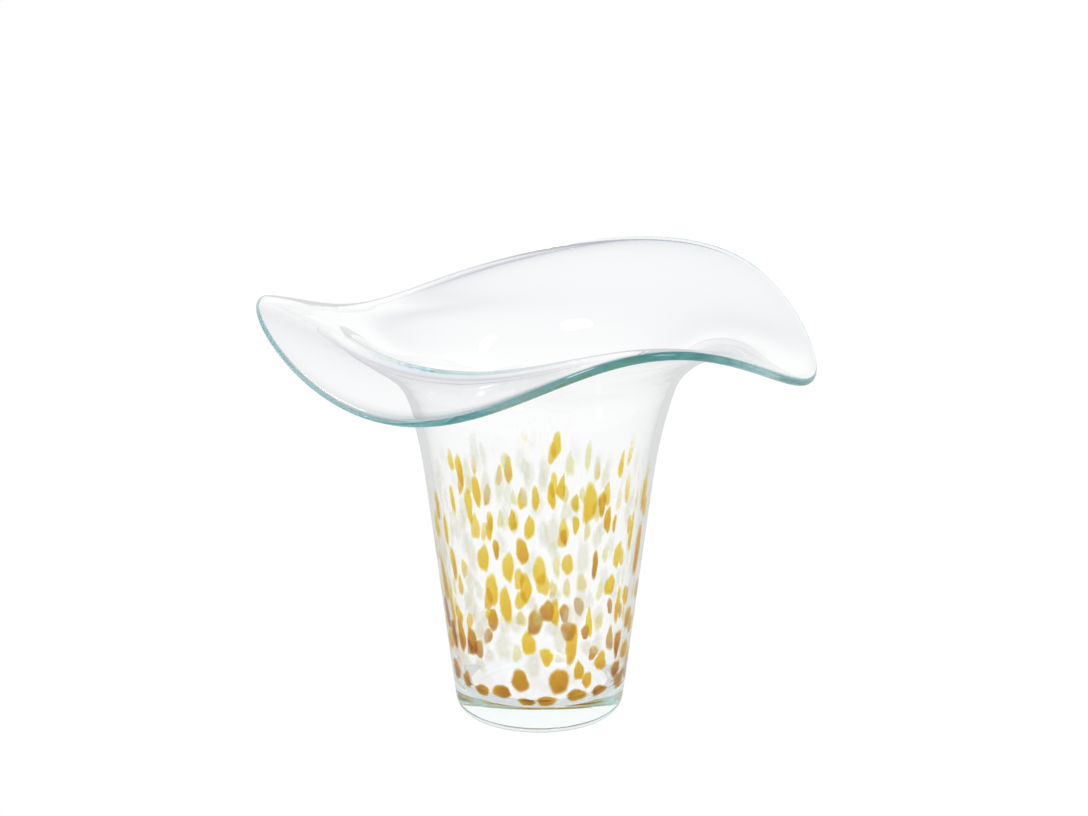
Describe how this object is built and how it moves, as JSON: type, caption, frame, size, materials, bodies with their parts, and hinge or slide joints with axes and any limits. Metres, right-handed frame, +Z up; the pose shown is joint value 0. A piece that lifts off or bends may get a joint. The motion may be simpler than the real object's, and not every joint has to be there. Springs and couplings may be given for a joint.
{
  "type": "fan vase",
  "caption": "Tall tapered clear glass vase with a thick foot, coloured frit chips in the wall and a wide flared brim with a wavy lip, for cut flowers.",
  "frame": {"origin": "centre of the foot's underside, on the axis of the body", "axes": "+Z up along the body's axis, -Y towards the viewer in the picture, +X to the right in the picture"},
  "size_m": [0.2726, 0.2776, 0.2202],
  "materials": {
    "casing_glass": "fire-polished clear glass with a faint teal edge tint",
    "bubble_glass": "smooth clear glass with a faint teal edge tint",
    "gold_frit": "translucent gold glass",
    "amber_frit": "translucent amber glass",
    "brown_frit": "translucent brown glass",
    "straw_frit": "translucent pale straw glass",
    "peach_frit": "translucent peach glass",
    "white_frit": "opal white glass"
  },
  "bodies": {
    "root": {"outer_casing": "casing_glass", "inner_bubble": "bubble_glass", "gold_chips": "gold_frit", "amber_chips": "amber_frit", "brown_chips": "brown_frit", "straw_chips": "straw_frit", "peach_chips": "peach_frit", "white_chips": "white_frit"}
  },
  "joints": []
}
